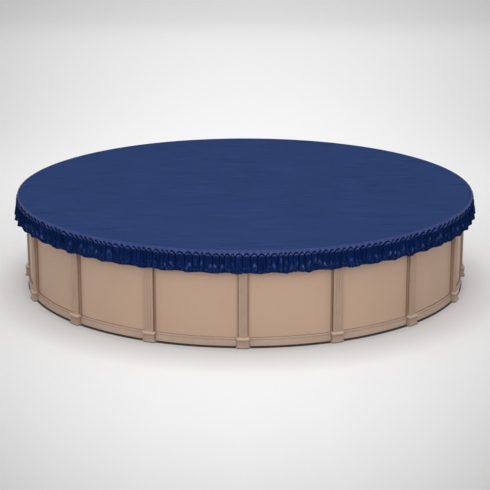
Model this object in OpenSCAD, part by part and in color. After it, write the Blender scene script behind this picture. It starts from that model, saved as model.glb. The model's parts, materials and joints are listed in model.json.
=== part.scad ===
// Fitted winter cover on its round above-ground pool.
// Z is up. The origin is on the ground at the middle of the pool. Millimetres.
// The pool is a bolted ring: plates on the ground, rails between them, one coiled wall,
// uprights with boots, and ledges with caps. The cover is a flat sheet with a gathered skirt,
// and a cable in its hem is drawn tight by a small ratchet winch at the back (+Y).

/* [Pool] */
// Radius of the inside face of the wall
pool_r = 3200; // [2900:10:3500]
// Height of the wall sheet
wall_h = 1321; // [1200:1:1400]
// Thickness of the wall sheet
wall_t = 1.2; // [1.0:0.1:2.0]
// Number of uprights, an even number with one facing the front
upright_count = 16; // [12:2:16]
// Thickness of the liner
liner_t = 1.2; // [1.0:0.1:2.0]
// Width and height of the sloping cove round the floor
cove_w = 150; // [120:5:200]

/* [Bottom rails] */
// Thickness of the plates on the ground
plate_t = 4; // [3:0.5:6]
// Height of a bottom rail
rail_h = 131; // [100:1:150]
// Height of the lip along the top of a rail
rail_lip = 25; // [18:1:32]
// How far a bottom rail stands out from the wall
rail_out = 28; // [24:1:32]

/* [Uprights] */
// Width of an upright over its flanges
upright_w = 150; // [130:2:160]
// Width of the raised middle of an upright
ridge_w = 116; // [100:2:120]
// How far the front of an upright stands out from the wall
upright_out = 63; // [55:1:70]
// Thickness of an upright's walls
upright_t = 4; // [3:0.5:5]

/* [Boots] */
// How far a boot's body stands out from the wall
boot_out = 90; // [84:1:110]
// Height of a boot
boot_h = 152; // [120:1:190]
// Height of the collar round the top of a boot
collar_h = 40; // [24:1:60]
// How far the collar stands out from the boot's body
collar_out = 8.5; // [5:0.5:12]
// Thickness of a boot's shell
boot_t = 3; // [2:0.5:4]

/* [Top ledges] */
// How far a ledge reaches inward from the wall
ledge_in = 45; // [42:1:60]
// How far a ledge reaches outward from the wall
ledge_out = 132; // [128:1:150]
// Thickness of a ledge
ledge_t = 2.8; // [2:0.1:3.5]
// Length of a cap, along the ledges that it joins
cap_l = 230; // [200:5:260]

/* [Cover] */
// Thickness of the cover sheet
sheet_t = 2.5; // [2:0.5:4]
// Thickness of the gathered skirt, as a plain solid
skirt_t = 6; // [4:0.5:8]
// Height of the skirt and its hem together
skirt_h = 280; // [240:5:320]
// How far the skirt spreads between its top and its hem
skirt_flare = 31; // [24:1:40]
// Thickness of the cable in the hem
cable_d = 3.2; // [3:0.2:4]

/* [Winch] */
// Length of the winch frame, along the cable
winch_w = 60; // [56:2:70]
// Depth of the winch frame, from inner to outer plate
winch_d = 36; // [32:1:40]
// Number of ratchet teeth, a multiple of four
ratchet_teeth = 12; // [8:4:16]
// Length of the bar that turns the winch
handle_l = 76; // [60:2:80]

/* [Hidden] */
ring_fn = 256;
hole_fn = 48;
fit = 0.3;

bay = 360 / upright_count;
plate_in = 30;
wall_z = plate_t + 8;
wall_top = wall_z + wall_h;
track_leg = 3;
track_down = 20;
track_top = wall_top + 8;
liner_face = 0.4;
top_plate_t = 4;
ledge_z = track_top + top_plate_t;
ledge_top = ledge_z + ledge_t;
cap_t = 3;
cap_gap = 2;
cap_top = ledge_top + 8.2;
seam = degrees_at(2, pool_r);
bay_end = degrees_at(upright_w / 2 + 3, pool_r);
ledge_end = degrees_at(3.5, pool_r);

screw_x = 60;
screw_in = 25 - ledge_in;
screw_out = ledge_out - 32;
screw_r = 3;
bolt_r = 3;
bolt_x = 20;
bolt_rows = 8;
joint_plate_w = 70;
joint_plate_z = 45;

rail_in = 10;
rail_skin = 3.5;
rail_round = 12;
rail_groove_h = 8;
rail_groove_d = 8.5;
inner_lip_h = 22;

upright_back = wall_t + 0.8;
ridge_pitch = ridge_w / 3;
groove_w = 9;
groove_d = 7;
ridge_crown = 2.5;

boot_fit = 1;
boot_half = upright_w / 2 + boot_fit + boot_t;
boot_back = rail_out + 0.6;
boot_flare = 13;
boot_toe = 6;
collar_chamfer = 9;
boot_corner = 14;

sheet_z = cap_top + fit;
sheet_r = pool_r + ledge_out + cap_gap + cap_t + 5;
welt_r = 5;
welt_z = sheet_z - welt_r - 0.1;
skirt_top = welt_z - welt_r;
skirt_in = sheet_r - 0.5;
hem_h = 35;
hem_w = 12;
hem_top = skirt_top - skirt_h + hem_h;
hem_r = skirt_in + skirt_flare + skirt_t / 2;
hem_z = hem_top - hem_h;
cable_z = hem_z + 12;
cable_r = cable_d / 2;
window = 1;
skirt_panels = 8;

drum_r = 8;
flange_r = 16;
axle_r = 5;
frame_t = 2;
frame_h = 44;
spool_z = cable_z - cable_r - drum_r - fit;
frame_z = spool_z - 22;
frame_in = hem_r - winch_d / 2;
frame_out = hem_r + winch_d / 2;
gear_y = frame_out + 0.6;
gear_t = 4;
gear_r = 15;
gear_root = 11.5;
pawl_at = [21.5, 4];
pawl_tip_angle = 60;
pin_r = 2.5;
spring_wire = 0.5;
spring_turns = 3;
spring_pitch = 1.05;
spring_gap = 0.7;
pin_head_t = 1.2;
pin_head_y = gear_y + gear_t + 2 * spring_gap + spring_turns * spring_pitch;
handle_y = gear_y + gear_t + 0.4;
handle_r = 3;
bar_y = pin_head_y + pin_head_t + 0.8 + handle_r;
handle_end = bar_y + handle_r + 1;

UPRIGHTS = [for (k = [1:upright_count]) numbered("upright_", k)];
BOOTS = [for (k = [1:upright_count]) numbered("boot_", k)];

tan_wall = [0.71, 0.61, 0.54];
tan_frame = [0.64, 0.54, 0.46];
tan_trim = [0.66, 0.57, 0.51];
navy_top = [0.18, 0.25, 0.43];
navy_skirt = [0.05, 0.13, 0.28];
navy_rim = [0.20, 0.28, 0.46];
liner_blue = [0.35, 0.62, 0.78];
zinc = [0.72, 0.73, 0.74];
foam = [0.90, 0.90, 0.88];
wire_grey = [0.45, 0.46, 0.48];
black = [0.10, 0.10, 0.11];

function numbered(name, k) = str(name, k < 10 ? "0" : "", k);
function degrees_at(length, radius) = atan(length / radius);
function around(angle, radius) = [radius * cos(angle), radius * sin(angle)];

// Places its children at upright k, with X along the wall and Y outward from its inside face
module station(k) {
    rotate([0, 0, bay * (k - 1) - 180])
        translate([0, pool_r, 0])
            children();
}

// Turns a section round the pool. Its X is measured outward from the wall's inside face.
module arc_of(from, to) {
    rotate([0, 0, from])
        rotate_extrude(angle = to - from, $fn = ring_fn)
            translate([pool_r, 0])
                children();
}

// One arc in each bay, which stops short of the uprights' centres by end degrees
module bay_arcs(end) {
    for (k = [1:upright_count])
        arc_of(bay * (k - 1) - 90 + end, bay * k - 90 - end)
            children();
}

module ring_of() {
    rotate_extrude($fn = ring_fn)
        translate([pool_r, 0])
            children();
}

module screw_places() {
    for (x = [-screw_x, screw_x])
        for (y = [screw_in, screw_out])
            translate([x, y, 0])
                children();
}

// Ground plate under each upright, with a wing under the end of each rail
module bottom_plates() {
    foot = upright_w / 2 + 5;
    wing = upright_w / 2 + 30;
    color(zinc)
        for (k = [1:upright_count])
            station(k)
                linear_extrude(plate_t)
                    union() {
                        translate([-foot, -plate_in])
                            square([2 * foot, plate_in + boot_out - 9]);
                        translate([-wing, -rail_in - 2])
                            square([2 * wing, rail_in + rail_out]);
                    }
}

// Quarter circle from below to the right, round a corner at x and z
function low_corner(x, z, r) = [for (a = [-90:15:0]) [x - r + r * cos(a), z + r + r * sin(a)]];

// Hollow rail with a slot that the wall stands in. Its inner side is low. Its outer side has a
// lip along the top, with a groove under it.
module bottom_rails() {
    top = plate_t + rail_h;
    lip_z = top - rail_lip;
    groove_z = lip_z - rail_groove_h;
    groove_y = rail_out - rail_groove_d;
    slot_in = -0.4;
    slot_out = wall_t + 0.4;
    inner_lip = wall_z + inner_lip_h;
    skin = rail_skin;
    low = slot_out + skin;
    high = rail_out - skin;
    outline = concat(
        [[-rail_in, plate_t]],
        low_corner(rail_out, plate_t, rail_round),
        [
            [rail_out, groove_z - 2], [rail_out - 2, groove_z], [groove_y, groove_z],
            [groove_y, lip_z], [rail_out - 2, lip_z], [rail_out, lip_z + 2],
            [rail_out, top - 5], [rail_out - 5, top], [slot_out, top], [slot_out, wall_z],
            [slot_in, wall_z], [slot_in, inner_lip], [3 - rail_in, inner_lip],
            [-rail_in, inner_lip - 3]
        ]
    );
    hollow = concat(
        [[low, plate_t + skin]],
        low_corner(high, plate_t + skin, rail_round - skin),
        [
            [high, groove_z - skin - 1], [groove_y - skin, groove_z - skin - 1],
            [groove_y - skin, lip_z + skin], [high, lip_z + skin], [high, top - 6],
            [high - 2.5, top - skin], [low, top - skin]
        ]
    );
    color(tan_trim)
        bay_arcs(bay_end)
            difference() {
                polygon(outline);
                polygon(hollow);
            }
}

// One coiled sheet, whose two ends meet behind the back upright
module wall() {
    color(tan_wall)
        difference() {
            arc_of(90 + seam, 450 - seam)
                translate([0, wall_z])
                    square([wall_t, wall_h]);
            wall_bolt_places()
                rotate([-90, 0, 0])
                    translate([0, 0, -5])
                        cylinder(r = bolt_r + 0.3, h = 20, $fn = hole_fn);
        }
}

module wall_bolt_places() {
    step = (wall_h - 2 * joint_plate_z - 60) / (bolt_rows - 1);
    for (x = [-bolt_x, bolt_x])
        for (i = [0:bolt_rows - 1])
            translate([x, pool_r, wall_z + joint_plate_z + 30 + i * step])
                children();
}

module wall_joint_plate() {
    color(zinc)
        difference() {
            translate([-joint_plate_w / 2, pool_r + wall_t + 0.3, wall_z + joint_plate_z])
                cube([joint_plate_w, 3, wall_h - 2 * joint_plate_z]);
            wall_bolt_places()
                rotate([-90, 0, 0])
                    cylinder(r = bolt_r + 0.3, h = 20, $fn = hole_fn);
        }
}

module wall_bolts() {
    head_y = wall_t + 3.3;
    color(zinc)
        wall_bolt_places()
            rotate([-90, 0, 0]) {
                translate([0, 0, 0.3])
                    cylinder(r = bolt_r, h = head_y, $fn = hole_fn);
                translate([0, 0, head_y])
                    cylinder(r = 5.5, h = 4, $fn = 6);
            }
}

// Front of an upright, from its right edge to its left: three crowned ridges and two grooves
function upright_front() = [
    for (i = [1:-1:-1])
        for (s = [1:-0.25:-1])
            let (half = (ridge_pitch - groove_w / (i == 0 ? 1 : 2)) / 2,
                 shift = i * (ridge_pitch + groove_w / 4))
                [shift + s * half, upright_out - ridge_crown * s * s],
    ];

function groove_floor(x) = [[x + 1.5, upright_out - groove_d], [x - 1.5, upright_out - groove_d]];

// Outline of an upright: a channel that is open to the wall, with a lip on each side, which a
// deep narrow gap parts from the raised middle
module upright_outline() {
    half = upright_w / 2;
    ridge = ridge_w / 2;
    step_y = rail_out;
    front = upright_front();
    n = len(front) / 3;
    groove_x = ridge_pitch / 2;
    right = [for (i = [0:n - 1]) front[i]];
    middle = [for (i = [n:2 * n - 1]) front[i]];
    left = [for (i = [2 * n:3 * n - 1]) front[i]];
    t = upright_t;
    lip = (half + ridge) / 2;
    floor_y = upright_back + t;
    outer = concat(
        [[half, upright_back], [half, step_y - 2], [half - 2, step_y], [lip, step_y]],
        [[lip, floor_y], [ridge, floor_y]],
        right, groove_floor(groove_x), middle, groove_floor(-groove_x), left,
        [[-ridge, floor_y], [-lip, floor_y]],
        [[-lip, step_y], [2 - half, step_y], [-half, step_y - 2], [-half, upright_back]]
    );
    inner = [
        [t - ridge, upright_back], [t - ridge, upright_out - groove_d - t],
        [ridge - t, upright_out - groove_d - t], [ridge - t, upright_back]
    ];
    polygon(concat(outer, inner));
}

module upright(k) {
    color(tan_frame)
        station(k)
            translate([0, 0, plate_t])
                linear_extrude(track_top - plate_t)
                    upright_outline();
}

// One level of a boot's outline, from its right edge round the front to its left edge
function boot_ring(z, grow, back) =
    let (half = boot_half + grow, front = boot_out + grow, corner = boot_corner + grow)
        concat(
            [[half, back, z]],
            [for (a = [0:22.5:90]) [half - corner + corner * cos(a), front - corner + corner * sin(a), z]],
            [for (a = [90:-22.5:0]) [corner - half - corner * cos(a), front - corner + corner * sin(a), z]],
            [[-half, back, z]]
        );

// Solid through the outlines at the heights and growths in steps
module boot_block(steps, back) {
    rings = [for (p = steps) boot_ring(p[0], p[1], back)];
    m = len(rings[0]);
    top = m * (len(steps) - 1);
    skin = [
        for (i = [0:len(steps) - 2])
            for (j = [0:m - 1])
                let (a = i * m + j, b = i * m + (j + 1) % m)
                    [a, a + m, b + m, b]
    ];
    ends = [[for (j = [0:m - 1]) j], [for (j = [m - 1:-1:0]) top + j]];
    polyhedron(points = [for (r = rings) each r], faces = concat(skin, ends));
}

// Shell round the foot of an upright, open at the back and below, with a collar at its top
module boot(k) {
    notch = ridge_w / 2 + 0.6;
    collar_z = boot_h - collar_h;
    outside = [
        [0, boot_toe], [10, boot_flare], [24, boot_flare], [38, 0], [collar_z - 4, 0],
        [collar_z, collar_out], [boot_h - collar_chamfer, collar_out],
        [boot_h, collar_out - collar_chamfer]
    ];
    inside = [
        [-1, boot_toe - boot_t], [1, boot_toe - boot_t], [11, boot_flare - boot_t],
        [23, boot_flare - boot_t], [37, -boot_t], [collar_z - 2, -boot_t],
        [collar_z + 2, collar_out - boot_t], [boot_h - collar_chamfer - 2, collar_out - boot_t],
        [boot_h - boot_t, collar_out - collar_chamfer - 2]
    ];
    color(tan_trim)
        station(k)
            difference() {
                boot_block(outside, boot_back);
                boot_block(inside, boot_back - 1);
                translate([-notch, 0, boot_h / 2])
                    cube([2 * notch, upright_out + 0.6, boot_h]);
            }
}

// Channel pressed over the top of the wall and the liner
module top_tracks() {
    slot_in = -liner_face - liner_t - 0.4;
    slot_out = wall_t + 0.4;
    color(zinc)
        bay_arcs(bay_end)
            polygon([
                [slot_in - track_leg, wall_top - track_down], [slot_in, wall_top - track_down],
                [slot_in, wall_top], [slot_out, wall_top],
                [slot_out, wall_top - track_down], [slot_out + track_leg, wall_top - track_down],
                [slot_out + track_leg, track_top], [slot_in - track_leg, track_top]
            ]);
}

module top_plates() {
    color(zinc)
        for (k = [1:upright_count])
            station(k)
                difference() {
                    translate([-95, 10 - ledge_in, track_top])
                        cube([190, ledge_in + ledge_out - 22, top_plate_t]);
                    screw_places()
                        translate([0, 0, track_top - 1])
                            cylinder(r = screw_r + 0.3, h = 10, $fn = hole_fn);
                }
}

// Seat between two uprights, with a lip turned down along both edges
module top_ledges() {
    bevel = 4;
    inside = bevel - 1.6;
    in_foot = ledge_top - 20;
    out_foot = ledge_top - 28;
    under = ledge_z - inside;
    color(tan_trim)
        difference() {
            bay_arcs(ledge_end)
                polygon([
                    [-ledge_in, in_foot], [-ledge_in, ledge_top - bevel],
                    [bevel - ledge_in, ledge_top], [ledge_out - bevel, ledge_top],
                    [ledge_out, ledge_top - bevel], [ledge_out, out_foot],
                    [ledge_out - ledge_t, out_foot], [ledge_out - ledge_t, under],
                    [ledge_out - ledge_t - inside, ledge_z], [ledge_t + inside - ledge_in, ledge_z],
                    [ledge_t - ledge_in, under], [ledge_t - ledge_in, in_foot]
                ]);
            for (k = [1:upright_count])
                station(k)
                    screw_places()
                        translate([0, 0, ledge_z - 1])
                            cylinder(r = screw_r + 0.3, h = 10, $fn = hole_fn);
        }
}

// Cap over the ends of two ledges. It stands on them with a rib at each end.
module ledge_caps() {
    half = degrees_at(cap_l / 2, pool_r);
    rib = degrees_at(cap_t, pool_r);
    low = -ledge_in - cap_gap - cap_t;
    high = ledge_out + cap_gap + cap_t;
    bevel = 5;
    inside = bevel - 1.8;
    in_foot = ledge_top - 26;
    out_foot = ledge_top - 36;
    under = cap_top - cap_t;
    color(tan_frame)
        for (k = [1:upright_count])
            let (mid = bay * (k - 1) - 90)
                union() {
                    arc_of(mid - half, mid + half)
                        polygon([
                            [low, in_foot], [low, cap_top - bevel], [low + bevel, cap_top],
                            [high - bevel, cap_top], [high, cap_top - bevel], [high, out_foot],
                            [high - cap_t, out_foot], [high - cap_t, under - inside],
                            [high - cap_t - inside, under], [low + cap_t + inside, under],
                            [low + cap_t, under - inside], [low + cap_t, in_foot]
                        ]);
                    for (from = [mid - half, mid + half - rib])
                        arc_of(from, from + rib)
                            translate([6 - ledge_in, ledge_top])
                                square([ledge_in + ledge_out - 12, under - ledge_top + 1]);
                }
}

module frame_screws() {
    color(zinc)
        for (k = [1:upright_count])
            station(k)
                screw_places() {
                    translate([0, 0, ledge_z - 16])
                        cylinder(r = screw_r, h = 16 + ledge_t, $fn = hole_fn);
                    translate([0, 0, ledge_top])
                        cylinder(r = 2 * screw_r, h = 4, $fn = hole_fn);
                }
}

module liner_floor() {
    color(liner_blue)
        cylinder(r = pool_r - cove_w, h = liner_t, $fn = ring_fn);
}

module liner_wall() {
    slope = liner_t * sqrt(2);
    face = -liner_face;
    color(liner_blue)
        ring_of()
            polygon([
                [-cove_w, 0], [face, cove_w + face], [face, wall_top],
                [face - liner_t, wall_top], [face - liner_t, cove_w + face - liner_t + slope],
                [-cove_w, slope]
            ]);
}

// Foam wedge under the liner, between the floor and the foot of the wall
module wall_cove() {
    gap = 0.4;
    face = -2 * gap;
    heel = -plate_in - 2;
    step = -rail_in - 2;
    lip_z = wall_z + inner_lip_h + 2;
    color(foam)
        ring_of()
            polygon([
                [gap - cove_w, 0], [heel, 0], [heel, plate_t + 1], [step, plate_t + 1],
                [step, lip_z], [face, lip_z], [face, cove_w + face - gap]
            ]);
}

module cover_sheet() {
    color(navy_top)
        translate([0, 0, sheet_z])
            cylinder(r = sheet_r, h = sheet_t, $fn = ring_fn);
}

// Corded seam between the sheet and the skirt
module rim_welt() {
    color(navy_rim)
        rotate_extrude($fn = ring_fn)
            translate([sheet_r + 1.5, welt_z])
                circle(r = welt_r, $fn = 32);
}

// Gathered skirt, as plain panels of its mean thickness
module cover_skirt() {
    turn = 360 / skirt_panels;
    stitch = degrees_at(0.4, pool_r);
    color(navy_skirt)
        for (i = [0:skirt_panels - 1])
            rotate([0, 0, turn * i + stitch])
                rotate_extrude(angle = turn - 2 * stitch, $fn = ring_fn)
                    polygon([
                        [skirt_in, skirt_top], [skirt_in + skirt_t, skirt_top],
                        [hem_r + skirt_t / 2, hem_top], [hem_r - skirt_t / 2, hem_top]
                    ]);
}

// Sewn tube along the lower edge. It stops at the window for the winch.
module hem_sleeve() {
    color(navy_skirt)
        rotate([0, 0, 90 + window])
            rotate_extrude(angle = 360 - 2 * window, $fn = ring_fn)
                difference() {
                    translate([hem_r - hem_w / 2, hem_z])
                        square([hem_w, hem_h]);
                    translate([hem_r, cable_z])
                        circle(r = cable_r + 0.6, $fn = 32);
                }
}

// Wire cable in the hem. One end is held by the clip, and the other runs over the drum.
module hem_cable() {
    clip_end = degrees_at(winch_w / 2 - 16, hem_r);
    drum_end = degrees_at(2, hem_r);
    color(wire_grey)
        rotate([0, 0, 90 + clip_end])
            rotate_extrude(angle = 360 - clip_end + drum_end, $fn = ring_fn)
                translate([hem_r, cable_z])
                    circle(r = cable_r, $fn = 24);
}

module exit_grommets() {
    color(zinc)
        for (side = [-1, 1])
            rotate([0, 0, side * window])
                translate([0, hem_r, cable_z])
                    rotate([0, side * 90, 0])
                        difference() {
                            cylinder(r = 7, h = 2.5, $fn = hole_fn);
                            translate([0, 0, -1])
                                cylinder(r = cable_r + 0.6, h = 5, $fn = hole_fn);
                        }
}

// Places a flat shape of the winch in a plane across the spool's axis, from y outward
module winch_plane(y, thick) {
    translate([0, y + thick, spool_z])
        rotate([90, 0, 0])
            linear_extrude(thick)
                children();
}

// Open box that carries the spool. The cable runs through both of its ends.
module winch_frame() {
    half = winch_w / 2;
    color(zinc)
        difference() {
            translate([-half, frame_in, frame_z])
                cube([winch_w, winch_d, frame_h]);
            translate([frame_t - half, frame_in + frame_t, frame_z + frame_t])
                cube([winch_w - 2 * frame_t, winch_d - 2 * frame_t, frame_h]);
            translate([-winch_w, hem_r, cable_z])
                rotate([0, 90, 0])
                    cylinder(r = cable_r + 0.7, h = 2 * winch_w, $fn = hole_fn);
            winch_plane(frame_in - 5, winch_d + 10)
                circle(r = axle_r + fit, $fn = hole_fn);
        }
}

// Axle, drum and two flanges, turned from one bar
module winch_spool() {
    inside = winch_d - 2 * frame_t - 2;
    color(wire_grey) {
        winch_plane(frame_in - 5, handle_end - frame_in + 5)
            circle(r = axle_r, $fn = hole_fn);
        winch_plane(hem_r - inside / 2, inside)
            circle(r = drum_r, $fn = hole_fn);
        for (y = [hem_r - inside / 2, hem_r + inside / 2 - 2])
            winch_plane(y, 2)
                circle(r = flange_r, $fn = hole_fn);
        winch_plane(frame_in - 5, 4.4)
            circle(r = drum_r, $fn = hole_fn);
    }
}

// Teeth are steep on the side that the cable's pull turns toward the pawl
module winch_ratchet() {
    pitch = 360 / ratchet_teeth;
    color(zinc)
        winch_plane(gear_y, gear_t)
            difference() {
                polygon([
                    for (i = [0:ratchet_teeth - 1])
                        for (r = [gear_root, gear_r])
                            around(pawl_tip_angle + i * pitch, r)
                ]);
                circle(r = axle_r, $fn = hole_fn);
            }
}

// Bar across the outer end of the axle
module winch_handle() {
    length = handle_end - handle_y;
    color(black)
        difference() {
            union() {
                winch_plane(handle_y, length)
                    circle(r = 8, $fn = hole_fn);
                translate([-handle_l / 2, bar_y, spool_z])
                    rotate([0, 90, 0])
                        cylinder(r = handle_r, h = handle_l, $fn = hole_fn);
                for (x = [-handle_l / 2, handle_l / 2])
                    translate([x, bar_y, spool_z])
                        sphere(r = handle_r + 0.6, $fn = hole_fn);
            }
            winch_plane(handle_y - 1, length + 2)
                circle(r = axle_r, $fn = hole_fn);
        }
}

// Turns of cable already wound on the drum, beside the stretch that runs on to it
module cable_wraps() {
    pitch = cable_d + 0.2;
    room = winch_d / 2 - 2 * frame_t - 1 - cable_r;
    color(wire_grey)
        for (i = [1:floor(room / pitch)])
            translate([0, hem_r - i * pitch, spool_z])
                rotate([90, 0, 0])
                    rotate_extrude($fn = 96)
                        translate([drum_r + cable_r, 0])
                            circle(r = cable_r, $fn = 24);
}

// Catch that stops the drum from unwinding, with a tail to lift it by
module winch_pawl() {
    tip = around(pawl_tip_angle - 1.5, gear_root + 0.6);
    crown = around(pawl_tip_angle - 1.5, gear_r + 0.8);
    neck = around(pawl_tip_angle - 360 / ratchet_teeth + 2, gear_r + 0.9);
    color(black)
        difference() {
            union() {
                winch_plane(gear_y, gear_t)
                    translate(pawl_at)
                        circle(r = 4.5, $fn = hole_fn);
                winch_plane(gear_y, gear_t)
                    polygon([
                        tip, crown, pawl_at + [1.5, 4.2], pawl_at + [8, 3], pawl_at + [9, 0],
                        pawl_at + [4, -1.5], pawl_at + [-3.9, 1.2], neck
                    ]);
            }
            winch_plane(gear_y - 1, gear_t + 2)
                translate(pawl_at)
                    circle(r = pin_r + 0.2, $fn = hole_fn);
        }
}

module winch_pawl_pin() {
    color(zinc) {
        winch_plane(frame_out, pin_head_y - frame_out)
            translate(pawl_at)
                circle(r = pin_r, $fn = hole_fn);
        winch_plane(pin_head_y, pin_head_t)
            translate(pawl_at)
                circle(r = 4.5, $fn = hole_fn);
    }
}

// Point j of the ring at step i of the spring's coil
function coil_point(i, j, steps, sides) =
    let (turn = 360 * i / steps, around_wire = 360 * j / sides,
         radius = pin_r + 0.4 + spring_wire + spring_wire * cos(around_wire))
        [
            pawl_at[0] + radius * cos(turn),
            gear_y + gear_t + spring_gap + spring_pitch * i / steps + spring_wire * sin(around_wire),
            spool_z + pawl_at[1] + radius * sin(turn)
        ];

module winch_pawl_spring() {
    steps = 16;
    sides = 6;
    rings = steps * spring_turns;
    last = rings * sides;
    points = [for (i = [0:rings]) for (j = [0:sides - 1]) coil_point(i, j, steps, sides)];
    skin = [
        for (i = [0:rings - 1])
            for (j = [0:sides - 1])
                let (a = i * sides + j, b = i * sides + (j + 1) % sides)
                    [a, b, b + sides, a + sides]
    ];
    ends = [[for (j = [sides - 1:-1:0]) j], [for (j = [0:sides - 1]) last + j]];
    color(zinc)
        polyhedron(points = points, faces = concat(skin, ends));
}

// Stop pressed on the fixed end of the cable, against the inside of the frame's end
module cable_clip() {
    color(zinc)
        translate([frame_t - winch_w / 2, hem_r, cable_z])
            rotate([0, 90, 0])
                difference() {
                    cylinder(r = 4.5, h = 13, $fn = hole_fn);
                    translate([0, 0, -1])
                        cylinder(r = cable_r + 0.2, h = 15, $fn = hole_fn);
                }
}

bottom_plates();
bottom_rails();
wall();
wall_joint_plate();
wall_bolts();
for (k = [1:upright_count]) upright(k);
for (k = [1:upright_count]) boot(k);
top_tracks();
top_plates();
top_ledges();
ledge_caps();
frame_screws();
liner_floor();
liner_wall();
wall_cove();
cover_sheet();
rim_welt();
cover_skirt();
hem_sleeve();
hem_cable();
exit_grommets();
winch_frame();
winch_spool();
winch_ratchet();
winch_handle();
cable_wraps();
winch_pawl();
winch_pawl_pin();
winch_pawl_spring();
cable_clip();
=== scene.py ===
"""Looks of a fitted winter cover on its round above-ground pool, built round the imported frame.

The pool's rigid pieces are the CAD nodes, with finished materials. The soft nodes of the cover are
replaced by cloth: a top sheet, a rim band and eight panels of gathered skirt with a turned-up hem.
Metres, +Z up, the front of the pool at -Y.
"""
import json
import math

import bmesh
import bpy
import numpy as np
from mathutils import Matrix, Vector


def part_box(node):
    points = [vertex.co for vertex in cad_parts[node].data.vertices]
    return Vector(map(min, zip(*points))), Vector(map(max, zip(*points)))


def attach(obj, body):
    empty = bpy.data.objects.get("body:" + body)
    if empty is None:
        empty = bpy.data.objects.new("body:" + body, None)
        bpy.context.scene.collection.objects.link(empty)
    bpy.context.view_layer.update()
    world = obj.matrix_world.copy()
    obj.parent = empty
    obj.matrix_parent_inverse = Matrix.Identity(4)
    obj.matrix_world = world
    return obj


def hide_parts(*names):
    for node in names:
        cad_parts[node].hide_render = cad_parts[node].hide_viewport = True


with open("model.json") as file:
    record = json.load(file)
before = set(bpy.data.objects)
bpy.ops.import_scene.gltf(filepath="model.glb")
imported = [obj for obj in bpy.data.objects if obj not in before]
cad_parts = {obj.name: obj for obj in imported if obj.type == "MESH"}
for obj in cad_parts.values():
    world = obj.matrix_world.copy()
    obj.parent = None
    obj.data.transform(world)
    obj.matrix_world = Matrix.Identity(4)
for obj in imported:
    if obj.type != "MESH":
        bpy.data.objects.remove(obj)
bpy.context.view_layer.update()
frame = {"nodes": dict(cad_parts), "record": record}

# ---------------------------------------------------------------- places, from the frame

TOP_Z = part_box("cover_sheet")[1].z
SHEET_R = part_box("cover_sheet")[1].x
WALL_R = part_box("wall")[1].x
SEAM_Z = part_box("cover_skirt")[1].z
HEM_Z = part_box("hem_sleeve")[0].z
CABLE_LOW, CABLE_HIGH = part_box("hem_cable")
CABLE_R = (CABLE_HIGH.z - CABLE_LOW.z) / 2
HEM_R = CABLE_HIGH.x - CABLE_R
# How far the bottom rails stand out from the wall, and the underside of the boots' collar.
RAIL_OUT = 0.028
COLLAR_Z = 0.112

# ---------------------------------------------------------------- cloth, as it is cut

SHEET_THICKNESS = 0.0012
SKIRT_THICKNESS = 0.0010

# ---------------------------------------------------------------- pleats of the skirt

PANEL_PLEATS = (18, 30, 30, 18, 18, 30, 30, 18)
PANELS = len(PANEL_PLEATS)
PLEATS = sum(PANEL_PLEATS)
SKIRT_COLUMNS = 16
RIM_COLUMNS = 12
WINDOW = math.radians(1)
WINDOW_PANEL = 2
RUFFLES = 67
rng = np.random.default_rng(11)


def pleat_edges():
    """Angles of the valleys between pleats. Pleats are wider at the sides of the pool. Each panel
    starts in a valley, and each pleat at the winch's window is as wide as the window."""
    edges = [0.0]
    turn = math.tau / PANELS
    for panel, count in enumerate(PANEL_PLEATS):
        middles = (panel + (np.arange(count) + 0.5) / count) * turn
        widths = rng.uniform(0.6, 1.4, count) * (1 + 1.1 * np.abs(np.cos(middles)) ** 3)
        fixed = {WINDOW_PANEL - 1: -1, WINDOW_PANEL: 0}.get(panel)
        if fixed is None:
            widths *= turn / widths.sum()
        else:
            widths[fixed] = 0
            widths *= (turn - WINDOW) / widths.sum()
            widths[fixed] = WINDOW
        edges.extend(panel * turn + np.cumsum(widths))
    return np.array(edges)


EDGES = pleat_edges()
FULLNESS = rng.uniform(0.7, 1.2, PLEATS)
FILLED = np.where(rng.random(PLEATS) < 0.35, rng.uniform(0.3, 0.8, PLEATS), 0)
APEX_DROP = rng.uniform(0, 0.009, PLEATS)
SPLIT_AT = rng.uniform(0.35, 0.65, PLEATS)
SPLIT_FROM = rng.uniform(0.3, 0.65, PLEATS)
SPLIT_DEPTH = np.where(rng.random(PLEATS) < 0.5, rng.uniform(0.004, 0.011, PLEATS), 0)
TUCK_DEPTH = np.where(rng.random(PLEATS) < 0.3, rng.uniform(0.003, 0.007, PLEATS), 0)
FORK_AT = rng.uniform(0.3, 0.7, PLEATS)
FORK_FROM = rng.uniform(0.42, 0.72, PLEATS)
FORK_HEIGHT = np.where(rng.random(PLEATS) < 0.6, rng.uniform(0.002, 0.006, PLEATS), 0)
FORK_ARMS = rng.uniform(0, 1, (2, PLEATS))
STREAK_AT = rng.uniform(0.3, 0.7, PLEATS)
STREAK_FROM = rng.uniform(0.1, 0.55, PLEATS)
STREAK = np.where(rng.random(PLEATS) < 0.4, rng.uniform(0.4, 1, PLEATS), 0)
PUCKER_PHASE = rng.uniform(0, math.pi, PLEATS)


def round_wave(low, high, count):
    """A smooth wave round the circle, from -1 to 1, of whole frequencies between low and high."""
    frequencies = rng.integers(low, high, count)
    phases = rng.uniform(0, math.tau, count)

    def wave(angle):
        total = sum(np.sin(f * angle + p) for f, p in zip(frequencies, phases))
        return total / count ** 0.5 / 1.6

    return wave


def crumple(low, high, count):
    """Small creases in all directions, from -1 to 1, over an angle and a height."""
    frequencies = rng.integers(low, high, count)
    rises = rng.uniform(-140, 140, count)
    phases = rng.uniform(0, math.tau, count)

    def wave(angle, z):
        total = sum(np.sin(f * angle + r * z + p) for f, r, p in zip(frequencies, rises, phases))
        return total / count ** 0.5 / 1.6

    return wave


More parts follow.
